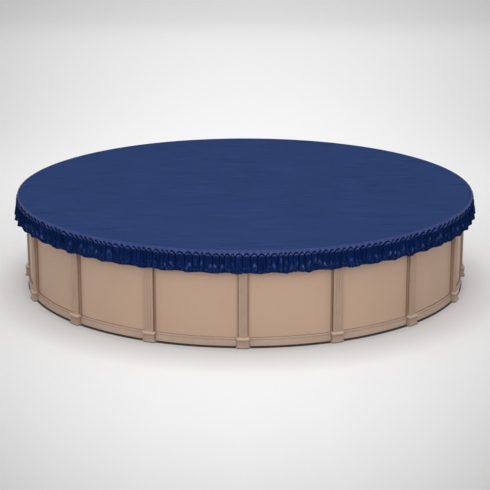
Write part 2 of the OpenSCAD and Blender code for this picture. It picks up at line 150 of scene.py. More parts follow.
SWAY = round_wave(30, 120, 9)
LEAN = round_wave(25, 90, 9)
SWELL = round_wave(20, 70, 7)
DROP = round_wave(45, 110, 9)
DRIFT = round_wave(3, 14, 5)
CREASES = crumple(240, 720, 26)


def smooth(x, low, high):
    """0 below low, 1 above high, and an S between."""
    s = np.clip((x - low) / (high - low), 0, 1)
    return s * s * (3 - 2 * s)


def eased(t, knots):
    """Values at t of the line through knots, with its corners rounded off."""
    fine = np.linspace(-0.2, 1.2, 281)
    line = np.interp(fine, *zip(*knots))
    kernel = np.hanning(19)
    line = np.convolve(np.pad(line, 9, "edge"), kernel / kernel.sum(), "valid")
    return np.interp(t, fine, line)


def lobe(u):
    """Bulge of one pleat, 0 in the valleys and 1 on the crest."""
    return 1 - np.abs(2 * u - 1) ** 2.4


def ridge(offset, width):
    """A soft ridge or dent, 1 in its middle, and gone about two widths away."""
    return np.exp(-((offset / width) ** 2))


def columns(first, last, steps):
    """Pleat number and share across it of each column from valley first to valley last."""
    share = np.tile(np.arange(steps) / steps, last - first)
    pleat = np.repeat(np.arange(first, last), steps)
    return np.append(pleat, last - 1), np.append(share, 1.0)


def ruffle(angle):
    """The hem's row of bulges round the cable, from -1 between them to 1 on them."""
    return np.cos(RUFFLES * angle + 1.6 * DRIFT(angle))


# Radius of the skirt's outer face in the valleys and on the crests of its pleats, at shares of
# the way from the seam down to the hem.
VALLEY = [(0, SHEET_R + 0.0005), (0.25, SHEET_R + 0.0005), (0.5, SHEET_R + 0.008),
          (0.8, SHEET_R + 0.022), (0.957, HEM_R + 0.0032), (1, HEM_R + 0.0025)]
CREST = [(0, SHEET_R + 0.027), (0.15, SHEET_R + 0.030), (0.5, SHEET_R + 0.036),
         (0.8, HEM_R + 0.0125), (0.957, HEM_R + 0.0165), (1, HEM_R + 0.021)]

# Depth of the seam's arches under the top, how far their points hang down, and how far the skirt
# goes up behind the seam.
APEX_DEPTH = 0.027
ARCH_RISE = 0.052
TUCK = 0.010


def rim_share(angle):
    """How tall the rim is, as a share of its height at the front: it is drawn in at the sides."""
    return 1 - 0.42 * np.cos(angle) ** 2


def seam_height(pleat, u):
    """Height of the gathering seam: an arch over each pleat, with points down in the valleys."""
    arch = np.abs(2 * u - 1) ** 1.7
    depth = rim_share(EDGES[pleat] + u * (EDGES[pleat + 1] - EDGES[pleat])) * APEX_DEPTH
    return TOP_Z - depth - APEX_DROP[pleat] * (1 - arch) - ARCH_RISE * arch


def split_dent(pleat, u, t):
    """A dent that divides the lower part of a pleat in two."""
    dent = ridge(u - SPLIT_AT[pleat] - 0.25 * (t - SPLIT_FROM[pleat]), 0.11)
    return dent * smooth(t, SPLIT_FROM[pleat] - 0.2, SPLIT_FROM[pleat] + 0.15)


def fork_ridges(pleat, u, t):
    """Two small ridges that part on their way down, like the legs of a fork."""
    start = FORK_FROM[pleat]
    spread = 0.8 * np.clip(t - start, 0, 1)
    fork = 0 * t
    for way, arm in zip((-1, 1), FORK_ARMS[:, pleat]):
        leg = ridge(u - FORK_AT[pleat] - way * spread * (0.4 + arm), 0.07)
        reach = 1 - smooth(t, start + 0.1, start + 0.12 + 0.25 * arm)
        fork = fork + leg * reach * smooth(t, start - 0.06, start + 0.05)
    return fork * (1 - smooth(t, 0.88, 0.97)) * lobe(u)


def bright_streak(pleat, u, t):
    """A slanting ridge on some pleats, which the material shows with a painted highlight."""
    start = STREAK_FROM[pleat]
    streak = STREAK[pleat] * ridge(u - STREAK_AT[pleat] - 0.2 * (t - 0.5), 0.12) * lobe(u)
    return streak * smooth(t, start, start + 0.15) * (1 - smooth(t, start + 0.3, start + 0.5))


def skirt_surface(pleat, u, share):
    """Outer face of the skirt for columns (pleat, u), at shares of the way down from the seam.
    Gives its angle, radius and height, and the marks that its material uses."""
    share = np.asarray(share)[:, None]
    start = seam_height(pleat, u) + TUCK
    height = start - share * (start - HEM_Z)
    below = start - TUCK - height
    t = (SEAM_Z - height) / (SEAM_Z - HEM_Z)
    width = EDGES[pleat + 1] - EDGES[pleat]
    full = smooth(below, 0, 0.05)

    # Where each point lies round the pool: pleats sway and lean on their way down.
    across = u - 0.13 * full * (1 - 0.35 * smooth(t, 0.8, 1)) * np.sin(math.tau * u)
    angle = EDGES[pleat] + across * width
    rest = EDGES[pleat] + u * width + 0 * t
    sway = 0.0062 * SWAY(rest) * t * (1 - t) * 2 + 0.0035 * LEAN(rest) * t * t
    angle = angle + sway * full

    # The bulge of each pleat, some of them with a valley that is partly filled.
    slack = FULLNESS[pleat] - 1
    puff = smooth(below, -0.004, 0.02) * (1 + slack * full * (1 + 0.8 * smooth(t, 0.7, 1)))
    side = np.abs(2 * u - 1) ** 3
    filled = FILLED[(pleat + (u > 0.5)) % PLEATS] * side * smooth(t, 0.3, 0.6) * full
    bulge = np.maximum(lobe(u) * puff, filled)
    radius = eased(t, VALLEY) + (eased(t, CREST) - eased(t, VALLEY)) * bulge
    radius = radius - 0.014 * (1 - smooth(below, -0.004, 0.010))

    # Smaller folds on the pleats.
    split = split_dent(pleat, u, t)
    tuck = ridge(u - 0.5, 0.12) * smooth(below, 0.01, 0.04) * (1 - smooth(t, 0.3, 0.65))
    fork = fork_ridges(pleat, u, t)
    streak = bright_streak(pleat, u, t)
    pucker = np.abs(np.sin(3 * math.pi * u + PUCKER_PHASE[pleat] * lobe(u)))
    creases = CREASES(rest, height)
    radius = radius - SPLIT_DEPTH[pleat] * split - TUCK_DEPTH[pleat] * tuck
    radius = radius + FORK_HEIGHT[pleat] * fork + 0.003 * streak
    radius = radius + 0.0042 * pucker * smooth(t, 0.82, 0.95)
    radius = radius + 0.0035 * SWELL(rest) * smooth(t, 0.2, 1) * (1 - smooth(t, 0.85, 0.93))
    radius = radius + (0.0008 + 0.0026 * smooth(t, 0.45, 0.8)) * creases * full * lobe(u)

    # The hem: an uneven edge, and a row of bulges round the cable.
    uneven = 0.002 * np.tanh(2 * DROP(rest)) + 0.008 * lobe(u) * (FULLNESS[pleat] - 0.7)
    height = height - smooth(t, 0.86, 1) * uneven
    bulges = smooth(t, 0.2, 0.95) * (0.016 * ruffle(rest) - 0.005)
    radius = np.maximum(radius + bulges, eased(t, VALLEY))
    height = height - smooth(t, 0.8, 1) * 0.0045 * (ruffle(rest) - 0.35)

    # Marks for the material, all painted light and shade: highlights on shoulders, forks and
    # streaks, shade in valleys and hollows, and small highlights near the hem.
    shoulder = ridge(below - 0.024, 0.008) * lobe(u) ** 3
    # Painted highlight on the shoulders below the seam, on fork ridges and along streaks.
    wear = 0.9 * shoulder * FULLNESS[pleat] + 0.6 * fork * FORK_HEIGHT[pleat] / 0.006
    wear = wear + 0.35 * streak * smooth(creases, -0.2, 0.8)
    # Painted shade in the valleys, in the arch below the seam and in the split dents.
    painted_hollow_shade = 1 - smooth(bulge, 0.02, 0.55) * smooth(below, 0.004, 0.02)
    painted_hollow_shade = painted_hollow_shade + 0.7 * split * SPLIT_DEPTH[pleat] / 0.011 - 0.4 * wear
    # Painted highlight on streaks and forks, and small painted highlights near the hem.
    marks = {"wear": wear, "shade": painted_hollow_shade, "tone": streak + 0.25 * fork,
             "specks": smooth(t, 0.5, 0.8) * smooth(lobe(u), 0.1, 0.6) + 0.5 * streak}
    marks = {key: np.clip(value, 0, 1) + 0 * t for key, value in marks.items()}
    return angle, radius, height, marks


def polar(angle, radius, height):
    """Points from angles, radii and heights."""
    shape = np.broadcast(angle, radius, height).shape
    angle, radius, height = (np.broadcast_to(x, shape) for x in (angle, radius, height))
    return np.stack([radius * np.cos(angle), radius * np.sin(angle), height], -1)


# ---------------------------------------------------------------- meshes


def grid_mesh(name, points, uv, keep=None, marks=None):
    """A smooth mesh through a grid of points, with its flat place on the cloth as a UV map.
    marks gives each point shares, such as its wear, for the material."""
    rows, cols = points.shape[:2]
    corner = (np.arange(rows - 1)[:, None] * cols + np.arange(cols - 1)).ravel()
    if keep is not None:
        corner = corner[keep.ravel()]
    quads = np.stack([corner, corner + cols, corner + cols + 1, corner + 1], 1)
    mesh = bpy.data.meshes.new(name)
    mesh.from_pydata(points.reshape(-1, 3).tolist(), [], quads.tolist())
    layer = mesh.uv_layers.new(name="cloth")
    layer.data.foreach_set("uv", uv.reshape(-1, 2)[quads.ravel()].ravel())
    mesh.polygons.foreach_set("use_smooth", np.ones(len(quads), bool))
    for key, values in (marks or {}).items():
        store = mesh.attributes.new(key, "FLOAT", "POINT").data
        store.foreach_set("value", values.ravel().astype(np.float32))
    obj = bpy.data.objects.new(name, mesh)
    bpy.context.scene.collection.objects.link(obj)
    drop_loose(obj)
    return obj


def drop_loose(obj):
    """Removes the vertices that no face uses."""
    used = {v for p in obj.data.polygons for v in p.vertices}
    if len(used) == len(obj.data.vertices):
        return
    work = bmesh.new()
    work.from_mesh(obj.data)
    bmesh.ops.delete(work, geom=[v for v in work.verts if not v.link_faces], context="VERTS")
    work.to_mesh(obj.data)
    work.free()


def thicken(obj, thickness):
    """Gives a sheet its thickness, inward from its outer face."""
    solid = obj.modifiers.new("thickness", "SOLIDIFY")
    solid.thickness = thickness
    solid.offset = -1


def cloth_uv(points):
    """Flat place of each point, from the lengths along its row and its column."""
    along = np.linalg.norm(np.diff(points, axis=1, prepend=points[:, :1]), axis=2).cumsum(1)
    down = np.linalg.norm(np.diff(points, axis=0, prepend=points[:1]), axis=2).cumsum(0)
    return np.stack([along, -down], -1)


def top_sheet():
    """The flat top, drawn tight over the ledges, with faint creases and puckers at its edge."""
    cells = 230
    edge = SHEET_R - 0.004
    line = np.linspace(-1, 1, cells + 1)
    x, y = np.meshgrid(line, line)
    reach = np.maximum(np.abs(x), np.abs(y))
    length = np.hypot(x, y)
    scale = np.where(length > 0, reach / np.maximum(length, 1e-9), 0)
    x, y = x * scale * edge, y * scale * edge
    radius, angle = np.hypot(x, y), np.arctan2(y, x)
    creases = np.zeros_like(x)
    waves = np.random.default_rng(5)
    for _ in range(30):
        heading = waves.normal(math.pi / 2, 0.5)
        k = math.tau / waves.uniform(0.16, 0.6)
        along = x * math.cos(heading) + y * math.sin(heading)
        creases += np.sin(k * along + waves.uniform(0, math.tau))
    patch = 0.55 + 0.45 * np.sin(1.3 * x + 0.7) * np.cos(1.1 * y - 0.4)
    inner = 1 - smooth(radius, edge - 0.5, edge - 0.02)
    z = 0.00045 * creases * patch * (0.25 + 0.75 * inner)
    near_rim = smooth(radius, edge - 0.16, edge)
    z = z + 0.0012 * near_rim * CREASES(angle % math.tau, 0) - 0.0012
    points = np.stack([x, y, TOP_Z - 0.0004 + z], -1)
    uv = np.stack([x, y], -1)
    sheet = grid_mesh("cover_top", points[::-1], uv[::-1])
    thicken(sheet, SHEET_THICKNESS)
    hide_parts("cover_sheet")
    return sheet


# Profile of the rim over its cord, outwards from the sheet's edge and up from its top.
RIM = [(-0.010, 0.0002), (-0.006, 0.0007), (0.000, 0.0002), (0.005, -0.0026), (0.0088, -0.007),
       (0.011, -0.0125), (0.0118, -0.018)]
# Rows of the band below the cord: share of the way to the seam, height over the seam, and how far
# inwards. The last two go up behind the seam.
BAND_FOOT = [(0.5, 0.009, 0), (1, 0.008, 0.0005), (1, 0.002, 0.003), (1, -0.001, 0.009),
             (1, 0.003, 0.013)]


def rim_band():
    """The edge of the cover, from the top over the cord and down to the gathering seam."""
    pleat, u = columns(0, PLEATS, RIM_COLUMNS)
    angle = EDGES[pleat] + u * (EDGES[pleat + 1] - EDGES[pleat])
    crest = lobe(u) * FULLNESS[pleat]
    rows, wear, painted_hollow_shade = [], [], []
    for i, (out, rise) in enumerate(RIM):
        down = i / (len(RIM) - 1)
        small = 0.0009 * CREASES(angle, rise * 3) * down
        puff = 0.0035 * (crest - 0.5) * down ** 2
        rows.append(polar(angle, SHEET_R + out + puff + small, TOP_Z + rise * rim_share(angle)))
        # Painted highlight on the rim's creases, and down into the valleys.
        wear.append(down * (0.6 * smooth(CREASES(angle, 0.2 + rise), 0.1, 1) + 0.4 * (1 - lobe(u))))
        painted_hollow_shade.append(0 * angle)
    side, low = rows[-1], seam_height(pleat, u)
    for part, lift, inward in BAND_FOOT:
        height = side[:, 2] + part * np.minimum(low + lift - side[:, 2], 0)
        valley = 0.0085 * (1 - lobe(u)) * part ** 2
        radius = np.hypot(side[:, 0], side[:, 1]) - inward - valley
        rows.append(polar(angle, radius, height))
        # Painted highlight on the face of the band, and painted shade, as a dark line, on the rows
        # tucked in behind the seam.
        wear.append((0.45 + 0.55 * (1 - lobe(u)) * part) * (inward < 0.002))
        painted_hollow_shade.append(0 * angle + (inward > 0.002))
    points = np.array(rows)
    marks = {"wear": np.array(wear), "shade": np.array(painted_hollow_shade)}
    band = grid_mesh("rim_band", points, cloth_uv(points), marks=marks)
    thicken(band, SHEET_THICKNESS)
    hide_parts("rim_welt")
    return band


# Rows of the skirt, as shares of the way down from the seam, and of the hem turned up inside it.
SKIRT_ROWS = np.concatenate([[0, 0.02, 0.035, 0.05, 0.065, 0.085, 0.11, 0.14, 0.18],
                             np.linspace(0.23, 0.8, 11),
                             [0.84, 0.865, 0.89, 0.915, 0.935, 0.952, 0.968, 0.985, 1]])
TURNED_ROWS = np.array([0.985, 0.952, 0.925, 0.895, 0.868])
HEM_TOP = 0.86


def skirt_panel(number):
    """One gathered panel of the skirt, with its hem turned up on the inside round the cable. The
    hem is left out at the winch's window."""
    first = sum(PANEL_PLEATS[:number])
    pleat, u = columns(first, first + PANEL_PLEATS[number], SKIRT_COLUMNS)
    outer = skirt_surface(pleat, u, SKIRT_ROWS)
    inner = skirt_surface(pleat, u, TURNED_ROWS)
    near_cable = smooth(TURNED_ROWS, 0.87, 0.925)[:, None]
    inside = HEM_R - CABLE_R - 0.0016 - 0.006 * lobe(u) * FULLNESS[pleat]
    radius = (inner[1] - 0.0022) * (1 - near_cable) + inside * near_cable
    points = np.concatenate([polar(*outer[:3]), polar(inner[0], radius, inner[2])])
    marks = {key: np.concatenate([outer[3][key], inner[3][key]]) for key in outer[3]}
    hem_row = np.append(SKIRT_ROWS, np.ones(len(TURNED_ROWS)))[:-1] > HEM_TOP
    in_window = np.zeros(len(pleat) - 1, bool)
    if number == WINDOW_PANEL - 1:
        in_window[-SKIRT_COLUMNS:] = True
    if number == WINDOW_PANEL:
        in_window[:SKIRT_COLUMNS] = True
    keep = ~(hem_row[:, None] & in_window[None, :])
    panel = grid_mesh(f"skirt_panel_{number + 1}", points, cloth_uv(points), keep, marks)
    thicken(panel, SKIRT_THICKNESS)
    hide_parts("cover_skirt", "hem_sleeve")
    return panel


# ---------------------------------------------------------------- materials


BLACK = (0, 0, 0, 1)


def linear_light(value):
    """Linear light of sRGB values from 0 to 1."""
    value = np.asarray(value)
    return np.where(value > 0.04, ((value + 0.055) / 1.055) ** 2.4, value / 12.92)


def linear(r, g, b):
    """Colour in linear light from sRGB values of 0 to 255."""
    return tuple(linear_light([r / 255, g / 255, b / 255]).tolist()) + (1,)


class Look:
    """Builds one procedural material: a principled shader with the nodes that feed it."""

    def __init__(self, name, roughness, specular=0.5, metallic=0.0):
        self.material = bpy.data.materials.new(name)
        self.material.use_nodes = True
        self.tree = self.material.node_tree
        self.shader = self.tree.nodes["Principled BSDF"]
        self.shader.inputs["Roughness"].default_value = roughness
        self.shader.inputs["Specular IOR Level"].default_value = specular
        self.shader.inputs["Metallic"].default_value = metallic
        self.bumped = None

    def node(self, kind, **settings):
        """A new shader node. A setting goes to its input of that name, or else to the node."""
        made = self.tree.nodes.new("ShaderNode" + kind)
        for key, value in settings.items():
            if key in made.inputs:
                made.inputs[key].default_value = value
            else:
                setattr(made, key, value)
        return made

    def join(self, source, target):
        self.tree.links.new(source, target)

    def mark(self, name):
        """The share that the mesh stores at each point under a name."""
        return self.node("Attribute", attribute_name=name).outputs["Fac"]

    def place(self, stretch=(1, 1, 1), uv=False):
        """Metres on the object, or on the flat cloth, stretched by a factor on each axis."""
        if uv:
            where = self.node("UVMap", uv_map="cloth").outputs["UV"]
        else:
            where = self.node("TexCoord").outputs["Object"]
        mapping = self.node("Mapping", Scale=stretch)
        self.join(where, mapping.inputs["Vector"])
        return mapping.outputs["Vector"]

    def noise(self, scale, detail, stretch=(1, 1, 1), uv=False):
        """Soft noise, with so many spots to the metre on the object or on the flat cloth."""
        made = self.node("TexNoise", Scale=scale, Detail=detail, Roughness=0.55)
        self.join(self.place(stretch, uv), made.inputs["Vector"])
        return made.outputs["Fac"]

    def cells(self, scale, **settings):
        """Distance inside cells of a scale."""
        made = self.node("TexVoronoi", Scale=scale, **settings)
        self.join(self.place(), made.inputs["Vector"])
        return made.outputs["Distance"]

    def bands(self, scale, direction):
        """Waves along one axis of the flat cloth, for its tapes."""
        made = self.node("TexWave", Scale=scale, bands_direction=direction)
        self.join(self.place(uv=True), made.inputs["Vector"])
        return made.outputs["Fac"]

    def map(self, value, low, high, to_low=0.0, to_high=1.0):
        """A value carried from the range low to high over to the range to_low to to_high."""
        made = self.node("MapRange")
        ends = {"From Min": low, "From Max": high, "To Min": to_low, "To Max": to_high}
        for socket, number in ends.items():
            made.inputs[socket].default_value = number
        self.join(value, made.inputs["Value"])
        return made.outputs["Result"]

    def from_axis(self, forward=0.0):
        """The flat vector from the pool's axis to each point, and its length. The axis can be
        moved forward, for shading that reaches further in front of the pool than behind it."""
        flat = self.node("VectorMath", operation="MULTIPLY_ADD")
        flat.inputs[1].default_value = (1, 1, 0)
        flat.inputs[2].default_value = (0, forward, 0)
        self.join(self.node("NewGeometry").outputs["Position"], flat.inputs[0])
        length = self.node("VectorMath", operation="LENGTH")
        self.join(flat.outputs["Vector"], length.inputs[0])
        return flat.outputs["Vector"], length.outputs["Value"]

    def sideways(self):
        """1 near the wall where a face of the frame looks along it, and 0 where it looks
        outwards."""
        flat, reach = self.from_axis()
        outwards = self.node("VectorMath", operation="NORMALIZE")
        facing = self.node("VectorMath", operation="DOT_PRODUCT")
        self.join(flat, outwards.inputs[0])
        self.join(outwards.outputs["Vector"], facing.inputs[0])
        self.join(self.node("NewGeometry").outputs["True Normal"], facing.inputs[1])
        along = self.map(self.math("ABSOLUTE", facing.outputs["Value"], 0), 0.25, 0.7, 1, 0)
        return self.math("MULTIPLY", self.map(reach, WALL_R + 0.034, WALL_R + 0.048, 1, 0), along)

    def height(self):
        """Height over the ground, in metres."""
        split = self.node("SeparateXYZ")
        self.join(self.place(), split.inputs["Vector"])
        return split.outputs["Z"]

    def foot(self, top):
        """1 on the ground, and 0 above a height."""
        return self.map(self.height(), 0.75 * top, top, 1, 0)

    def math(self, operation, a, b):
        """What an operation makes of two values, each a number or a node's output."""
        made = self.node("Math", operation=operation)
        for i, value in enumerate((a, b)):
            if isinstance(value, (int, float)):
                made.inputs[i].default_value = value
            else:
                self.join(value, made.inputs[i])
        return made.outputs["Value"]

    def mix(self, share, a, b):
        """Colour a where share is 0 and b where it is 1."""
        made = self.node("Mix", data_type="RGBA")
        self.join(share, made.inputs["Factor"])
        for socket, value in ((made.inputs[6], a), (made.inputs[7], b)):
            if isinstance(value, tuple):
                socket.default_value = value
            else:
                self.join(value, socket)
        return made.outputs[2]

    def colour(self, value):
        self.join(value, self.shader.inputs["Base Color"])

    def rough(self, value):
        self.join(value, self.shader.inputs["Roughness"])

    def bump(self, height, distance, strength=1.0):
        """Adds a relief of a depth in metres to those that the surface has."""
        made = self.node("Bump", Distance=distance, Strength=strength)
        self.join(height, made.inputs["Height"])
        if self.bumped:
            self.join(self.bumped, made.inputs["Normal"])
        self.bumped = made.outputs["Normal"]
        self.join(self.bumped, self.shader.inputs["Normal"])


def shade(colour, factor):
    """A colour made lighter or darker by a factor."""
    return tuple(min(1, c * factor) for c in colour[:3]) + (1,)


def woven_cloth(name, colour, roughness, crinkle, specular=0.0, streaks=0.0, marks=()):
    """Coated woven polyethylene: a fine tape weave with soft crinkles, and streaks of painted shade
    and highlight where small wrinkles catch the light. The mesh's marks paint highlights on some
    ridges, shoulders and folds, shade in hollows, and small highlights near the hem."""
    look = Look(name, roughness, specular=specular)
    cloudy = look.map(look.noise(1.1, 3), 0.35, 0.65)
    fine = look.map(look.noise(38, 4, uv=True), 0.3, 0.7)
    ground = look.mix(cloudy, shade(colour, 0.96), shade(colour, 1.04))
    # Painted shade, then painted highlight, in faint streaks that stand for the light on small
    # wrinkles.
    drawn = look.map(look.noise(1.7, 4, stretch=(1, 8, 1)), 0.52, 0.7, 0, streaks)
    ground = look.mix(drawn, ground, shade(colour, 0.75))
    painted_wrinkle_light = look.map(look.noise(2.3, 4, stretch=(1, 9, 1)), 0.55, 0.72, 0, streaks)
    ground = look.mix(painted_wrinkle_light, ground, shade(colour, 1.3))
    weave = look.math("MULTIPLY", look.bands(66, "X"), look.bands(66, "Y"))
    ground = look.mix(look.map(weave, 0, 1, 0.0, 0.3), ground, shade(colour, 0.86))
    # Painted highlight, bluer, on streaks and forks of some pleats.
    if "tone" in marks:
        ground = look.mix(look.mark("tone"), ground, NAVY_RIDGE_HIGHLIGHT)
    # Painted shade in the skirt's hollows and on the rim's seam line.
    if "shade" in marks:
        ground = look.mix(look.mark("shade"), ground, NAVY_PAINTED_SHADE)
    # Small painted highlights near the hem, in spots.
    if "specks" in marks:
        specks = look.map(look.noise(64, 2.5), 0.57, 0.69)
        ground = look.mix(look.math("MULTIPLY", look.mark("specks"), specks), ground, NAVY_FLECK)
    # Painted highlight on shoulders, folds and the rim, broken into patches.
    if "wear" in marks:
        patches = look.map(look.noise(70, 3), 0.35, 0.6, 0.3, 1)
        ground = look.mix(look.math("MULTIPLY", look.mark("wear"), patches), ground, NAVY_HIGHLIGHT)
    look.colour(ground)
    look.rough(look.map(fine, 0, 1, roughness - 0.05, roughness + 0.07))
    look.bump(look.noise(9, 5, stretch=(0.55, 1.5, 1), uv=True), crinkle)
    look.bump(weave, 0.0002, 0.4)
    return look.material


def coated_steel(name, colour):
    """Painted coil: almost even, with a faint mottle and the fine ripple of rolled sheet."""
    look = Look(name, 0.45, specular=0.2)
    cloudy = look.map(look.noise(0.9, 2), 0.35, 0.65)
    speck = look.map(look.noise(160, 3), 0.42, 0.62)
    ground = look.mix(cloudy, shade(colour, 0.965), shade(colour, 1.03))
    look.colour(look.mix(look.map(speck, 0, 1, 0, 0.5), ground, shade(colour, 0.93)))
    look.rough(look.map(cloudy, 0, 1, 0.38, 0.48))
    look.bump(look.noise(3.5, 2, stretch=(1, 1, 0.15)), 0.0009, 0.6)
    look.bump(look.noise(420, 2), 0.00012, 0.5)
    return look.material


def moulded_resin(name, colour, roughness=0.5, proud=1.0):
    """Extruded or moulded resin with a fine grain, a little dust and faint flow lines. It has
    painted shade on its sides and in its grooves, and painted shade at the ground. What stands
    further out than the rails is made darker by the factor proud. Where that is less than 1, it is
    the boots, which also have a painted shadow below their collar and a painted highlight at its
    top."""
    look = Look(name, roughness, specular=0.3)
    cloudy = look.map(look.noise(2.3, 4), 0.35, 0.65)
    dust = look.map(look.noise(21, 5), 0.5, 0.75)
    ground = look.mix(cloudy, shade(colour, 0.95), shade(colour, 1.04))
    ground = look.mix(look.map(dust, 0, 1, 0, 0.55), ground, shade(colour, 1.12))
    outer = look.map(look.from_axis()[1], WALL_R + RAIL_OUT + 0.003, WALL_R + RAIL_OUT + 0.008)
    # Painted shade along the ground line, full on the rails and a third as strong on what stands
    # out further.
    painted_ground_shade = look.math("MULTIPLY", look.foot(0.021), look.map(outer, 0, 1, 1, 0.35))
    ground = look.mix(look.math("MULTIPLY", outer, 1 - proud), ground, BLACK)
    if proud < 1:
        # Painted shadow below the boots' collar, and a painted highlight at its top.
        height = look.height()
        above_dark = look.map(height, COLLAR_Z, COLLAR_Z + 0.004, 0.42, 0)
        below_dark = look.map(height, COLLAR_Z - 0.026, COLLAR_Z - 0.012)
        under = look.math("MULTIPLY", below_dark, above_dark)
        painted_collar_highlight = look.map(height, COLLAR_Z + 0.01, COLLAR_Z + 0.018, 0, 0.9)
        ground = look.mix(look.math("MULTIPLY", under, outer), ground, TAN_PAINTED_SHADE)
        ground = look.mix(look.math("MULTIPLY", painted_collar_highlight, outer), ground, TAN_HIGHLIGHT)
    # Painted shade on faces that look along the wall, on the uprights' sides and in their gaps.
    ground = look.mix(look.math("MULTIPLY", look.sideways(), 0.6), ground, TAN_PAINTED_SHADE)
    look.colour(look.mix(painted_ground_shade, ground, TAN_GROUND_SHADE))
    look.rough(look.map(dust, 0, 1, roughness - 0.04, roughness + 0.12))
    look.bump(look.noise(70, 3, stretch=(1, 1, 0.12)), 0.0005, 0.5)
    look.bump(look.noise(900, 2), 0.0001, 0.6)
    return look.material


def metal(name, colour, roughness, streak=(1, 1, 1), spangle=0.0):
    """Bare or plated metal with fine streaks, a patchy polish and, if plated, spangles."""
    look = Look(name, roughness, metallic=1.0)
    streaks = look.map(look.noise(260, 3, stretch=streak), 0.3, 0.7)
    patches = look.map(look.noise(14, 4), 0.35, 0.7)
    ground = look.mix(streaks, shade(colour, 0.88), shade(colour, 1.08))
    look.colour(look.mix(look.map(patches, 0, 1, 0, 0.5), ground, shade(colour, 0.8)))
    look.rough(look.map(patches, 0, 1, roughness - 0.06, roughness + 0.14))
    look.bump(streaks, 0.00008, 0.5)
    if spangle:
        look.bump(look.cells(spangle), 0.00015, 0.3)
    return look.material


def black_enamel(name, colour):
    """Dark paint on steel, with small pale chips."""
    look = Look(name, 0.38, specular=0.5)
    chips = look.map(look.noise(130, 5), 0.62, 0.7)
    look.colour(look.mix(chips, colour, shade(colour, 2.6)))
    look.rough(look.map(look.noise(60, 3), 0.3, 0.7, 0.3, 0.5))
    look.bump(look.noise(500, 2), 0.0001, 0.5)
    return look.material


def vinyl(name, colour):
    """Pool liner, paler along a faint net of lines."""
    look = Look(name, 0.35, specular=0.5)
    pale_net_lines = look.map(look.cells(14, feature="DISTANCE_TO_EDGE"), 0.0, 0.09)
    look.colour(look.mix(pale_net_lines, shade(colour, 1.35), colour))
    look.bump(look.noise(6, 4), 0.002, 0.5)
    return look.material


def foam(name, colour):
    """Closed-cell foam with fine pores."""
    look = Look(name, 0.9, specular=0.2)
    look.colour(look.mix(look.map(look.noise(45, 4), 0.35, 0.65), shade(colour, 0.9), colour))
    look.bump(look.noise(600, 3), 0.0006, 0.8)
    return look.material


# Painted shade for the frame's sides near the wall and below the boots' collar.
TAN_PAINTED_SHADE = linear(110, 84, 64)
# Painted shade for the ground line of the rails and boots.
TAN_GROUND_SHADE = linear(52, 42, 34)
# Painted highlight for the top of the boots' collar.
TAN_HIGHLIGHT = linear(196, 173, 153)
NAVY_TOP = linear(48, 67, 112)
NAVY_RIM = linear(48, 64, 116)
# The skirt is the same cloth as the top, given a darker colour as painted shade for its sides,
# which face away from the light above.
NAVY_SHADED_SKIRT = linear(11, 31, 70)
# Painted highlight on some ridges of the skirt.
NAVY_RIDGE_HIGHLIGHT = linear(12, 28, 96)
# Painted shade in the skirt's hollows and on the rim's seam line.
NAVY_PAINTED_SHADE = linear(1, 6, 24)
# Small painted highlights near the hem.
NAVY_FLECK = linear(60, 78, 134)
# Painted highlight on the pleats' shoulders and folds and on the rim.
NAVY_HIGHLIGHT = linear(88, 102, 160)

SLOTS = {
    "tan_wall": coated_steel("tan_wall", linear(186, 157, 136)),
    "tan_resin": moulded_resin("tan_resin", linear(168, 141, 122)),
    "tan_trim": moulded_resin("tan_trim", linear(177, 152, 135), 0.46, proud=0.81),
    "zinc_steel": metal("zinc_steel", linear(190, 193, 196), 0.42, spangle=90),
    "aluminium_channel": metal("aluminium_channel", linear(205, 207, 210), 0.36, streak=(1, 1, 12)),
    "blue_vinyl": vinyl("blue_vinyl", linear(84, 158, 196)),
    "foam": foam("foam", linear(226, 226, 222)),
    "navy_sheet": woven_cloth("navy_sheet", NAVY_TOP, 0.75, 0.004, streaks=0.8),
    "navy_welt": woven_cloth("navy_welt", NAVY_RIM, 0.5, 0.002, 0.06, marks=("shade", "wear")),
    "navy_skirt": woven_cloth("navy_skirt", NAVY_SHADED_SKIRT, 0.42, 0.0025,
                              marks=("tone", "shade", "specks", "wear")),
    "coated_wire": metal("coated_wire", linear(150, 152, 156), 0.3),
    "spool_steel": metal("spool_steel", linear(170, 172, 176), 0.34, streak=(1, 8, 1)),
    "black_steel": black_enamel("black_steel", linear(26, 26, 28)),
}


def finish_cad_nodes():
    """Gives every CAD node the finish of its material slot in the record."""
    slot_of = {part["node"]: part["material_slot"] for part in frame["record"]["subparts"]}
    for name, obj in frame["nodes"].items():
        look = SLOTS[slot_of[name]]
        if not obj.material_slots:
            obj.data.materials.append(look)
        for slot in obj.material_slots:
            slot.material = look


def dress(piece, slot):
    piece.data.materials.append(SLOTS[slot])
    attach(piece, "cover")


finish_cad_nodes()
dress(top_sheet(), "navy_sheet")
dress(rim_band(), "navy_welt")
for index in range(PANELS):
    dress(skirt_panel(index), "navy_skirt")

# ---------------------------------------------------------------- floor, light and camera

FLOOR_FRONT, FLOOR_BACK, FLOOR_SIDE = -130, 34, 70
SWEEP_R = 26
FLOOR_SHADE = 0.8
FLOOR_BOUNCE = 0.35
FLOOR_WHITE = (1, 0.995, 0.995, 1)
# Light that the floor gives off by itself, at distances behind the pool's axis.
GLOW_AT = (-40, -27, -23, -20, -17, -11, -8, -2, 5, 12, 20, 31, 40)
GLOW = (0.8, 0.72, 0.66, 0.42, 0.16, 0.12, 0.155, 0.26, 0.375, 0.42, 0.47, 0.56, 0.75)


